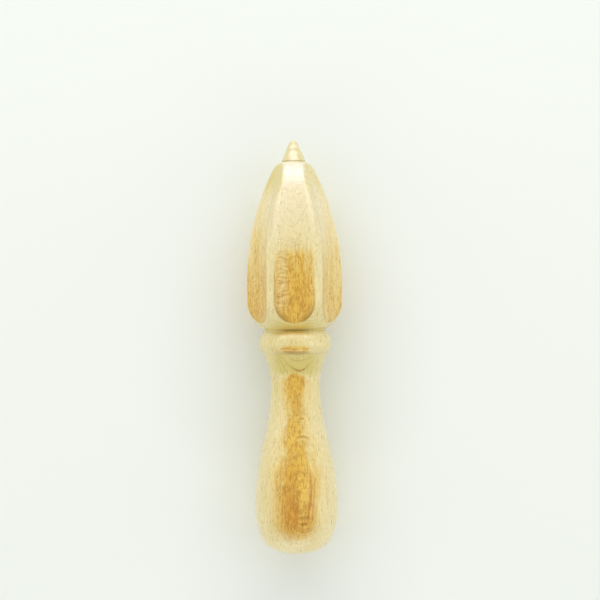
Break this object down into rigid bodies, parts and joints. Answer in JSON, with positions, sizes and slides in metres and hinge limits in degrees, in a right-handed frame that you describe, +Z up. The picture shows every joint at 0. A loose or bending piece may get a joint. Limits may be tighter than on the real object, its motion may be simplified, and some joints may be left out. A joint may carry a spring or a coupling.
{
  "type": "citrus reamer",
  "caption": "Hand citrus reamer turned from one piece of beech: a pointed, fluted head, a turned bead, a waisted neck and a swelling handle with a domed butt.",
  "frame": {"origin": "on the surface that the reamer lies on, straight below the middle of its length", "axes": "+Y along the turning axis towards the tip, +Z up from the surface with one flute facing up and one down, +X to the right, through two opposite ridges"},
  "size_m": [0.0382, 0.1652, 0.0344],
  "materials": {
    "beech": "pale steamed beech, turned and finely sanded, with a thin satin food-safe oil; short brown ray flecks and a warm amber streak of heartwood along one side"
  },
  "bodies": {
    "root": {"reamer_body": "beech"}
  },
  "joints": []
}
